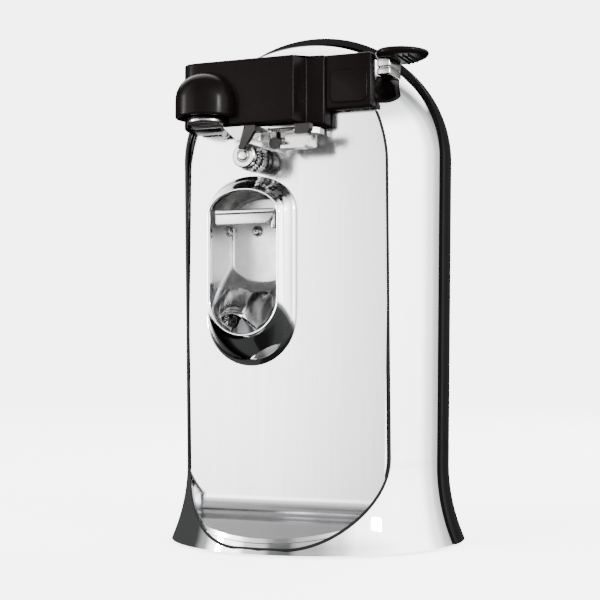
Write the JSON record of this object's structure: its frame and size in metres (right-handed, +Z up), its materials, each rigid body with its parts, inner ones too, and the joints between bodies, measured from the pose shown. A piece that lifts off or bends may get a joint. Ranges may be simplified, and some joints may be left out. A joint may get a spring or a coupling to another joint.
{
  "type": "electric can opener",
  "caption": "Upright electric can opener with round chrome body, flat satin front, black lifting cutter head, front bottle opener and rear knife sharpener.",
  "frame": {"origin": "on the round body axis at counter level, the bottom face of the rubber foot ring", "axes": "+Z up, -Y towards the user (front panel and head), +X to the right seen from the front (thumb pad side)"},
  "size_m": [0.1398, 0.1457, 0.2395],
  "materials": {
    "chrome": "polished plating",
    "panel_satin": "fine satin",
    "cover_black": "high gloss",
    "head_black": "high gloss",
    "base_black": "moulded",
    "rubber": "matte",
    "steel": "machined",
    "bright_steel": "polished",
    "zinc_steel": "zinc plated",
    "nylon": "moulded",
    "acetal": "moulded",
    "copper_coil": "enamelled wire",
    "bronze": "sintered",
    "laminations": "laminated",
    "grit": "coarse stone",
    "magnet": "ferrite",
    "switch_grey": "moulded"
  },
  "bodies": {
    "housing": {"body_shell": "chrome", "rear_cover": "cover_black", "rear_screws": "zinc_steel", "front_panel": "panel_satin", "base_plate": "base_black", "base_screws": "zinc_steel", "foot_ring": "rubber", "bottle_opener_housing": "chrome", "bottle_opener_plate": "bright_steel", "bottle_opener_screws": "bright_steel", "shoulder_cup": "head_black", "lever_rest": "bright_steel", "gear_plate_front": "zinc_steel", "gear_plate_rear": "zinc_steel", "gear_plate_pillars": "zinc_steel", "upper_idler_pin": "steel", "lower_idler_pin": "steel", "drive_bush": "steel", "stator_core": "laminations", "motor_coil": "copper_coil", "motor_bearings": "bronze", "motor_bridge": "zinc_steel", "motor_screws": "zinc_steel", "sharpener_guide": "base_black", "cord_gland": "rubber", "switch_body": "switch_grey", "lever_pivot_pin": "steel"},
    "lever": {"lever_arm": "head_black", "magnet_housing": "head_black", "thumb_pad": "head_black", "lever_frame": "bright_steel", "frame_screws": "zinc_steel", "cutting_blade": "bright_steel", "stripper_plate": "bright_steel", "guide_bracket": "bright_steel", "can_guide_pin": "bright_steel", "lever_rod": "bright_steel", "frame_nut": "steel", "magnet_pin": "steel", "magnet_lug": "steel"},
    "magnet": {"magnet_arm": "bright_steel", "magnet_cup": "bright_steel", "magnet_disc": "magnet"},
    "drive": {"drive_shaft": "steel", "drive_wheel": "bright_steel", "drive_washer": "steel", "wheel_nut": "bright_steel", "output_gear": "nylon"},
    "upper_idler": {"upper_idler_gear": "nylon"},
    "lower_idler": {"lower_idler_gear": "acetal"},
    "rotor": {"rotor_core": "laminations", "rotor_shaft": "steel", "motor_pinion": "steel", "cooling_fan": "nylon", "grinding_wheel": "grit"},
    "switch_button": {"switch_plunger": "nylon"}
  },
  "joints": [
    {"name": "lever_lift", "type": "hinge", "parent": "housing", "child": "lever", "pos_m": [-0.035, -0.048, 0.205], "axis": [0, -1, 0], "range_deg": [0, 35]},
    {"name": "magnet_tilt", "type": "hinge", "parent": "lever", "child": "magnet", "pos_m": [-0.0183, -0.061, 0.1856], "axis": [0, -1, 0], "range_deg": [0, 14]},
    {"name": "rotor_spin", "type": "hinge", "parent": "housing", "child": "rotor", "pos_m": [0.01601, 0.018, 0.11949], "axis": [0, -1, 0], "continuous": true},
    {"name": "drive_spin", "type": "hinge", "parent": "housing", "child": "drive", "pos_m": [-0.0105, -0.04, 0.176], "axis": [0, -1, 0], "continuous": true},
    {"name": "upper_idler_spin", "type": "hinge", "parent": "housing", "child": "upper_idler", "pos_m": [0.01329, -0.008, 0.16491], "axis": [0, -1, 0], "continuous": true},
    {"name": "lower_idler_spin", "type": "hinge", "parent": "housing", "child": "lower_idler", "pos_m": [0.01976, -0.008, 0.14076], "axis": [0, -1, 0], "continuous": true},
    {"name": "switch_press", "type": "slide", "parent": "housing", "child": "switch_button", "axis": [0, 0, -1], "range_m": [0, 0.0015], "stiffness_N_per_m": 150, "springref_m": -0.0005}
  ],
  "couplings": [
    {"joint": "lower_idler_spin", "follows": "rotor_spin", "ratio": -0.2},
    {"joint": "upper_idler_spin", "follows": "rotor_spin", "ratio": 0.05},
    {"joint": "drive_spin", "follows": "rotor_spin", "ratio": -0.015625}
  ]
}
